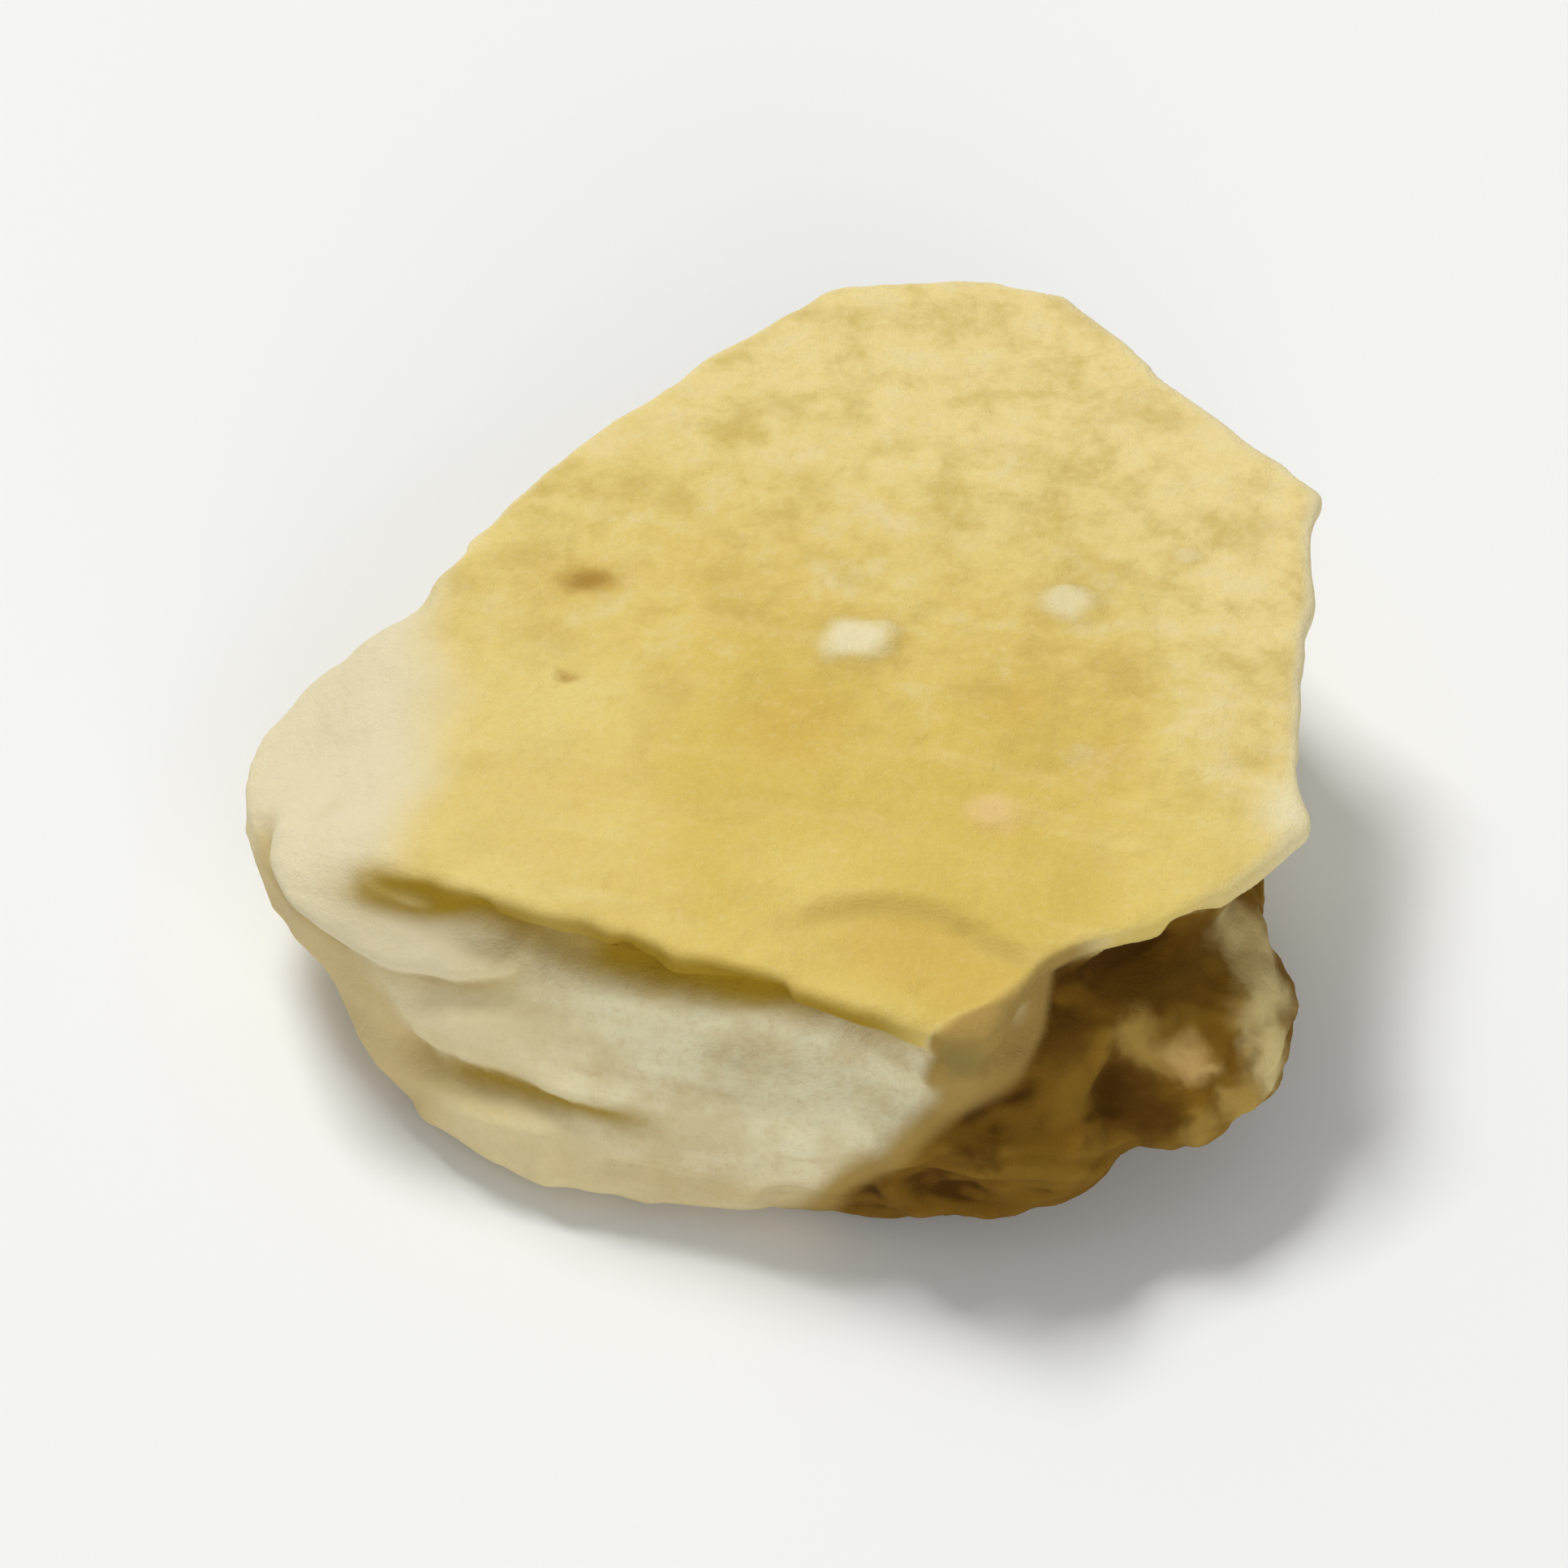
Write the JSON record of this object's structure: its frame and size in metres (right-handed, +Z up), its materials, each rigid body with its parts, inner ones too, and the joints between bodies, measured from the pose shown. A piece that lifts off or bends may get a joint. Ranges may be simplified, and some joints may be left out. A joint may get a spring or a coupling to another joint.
{
  "type": "dried horseradish root chip",
  "caption": "Chip of dried, cut horseradish root: a flat yellow cut face over pale fibrous flesh, with brown bark on one corner.",
  "frame": {"origin": "middle of the chip's box at its base, on the surface that it lies on", "axes": "+X to the right along the chip's longest side, +Y to the back, +Z up out of the cut face"},
  "size_m": [0.01, 0.0094, 0.0031],
  "materials": {
    "dried_root": "matte"
  },
  "bodies": {
    "root": {"root_chip": "dried_root"}
  },
  "joints": []
}
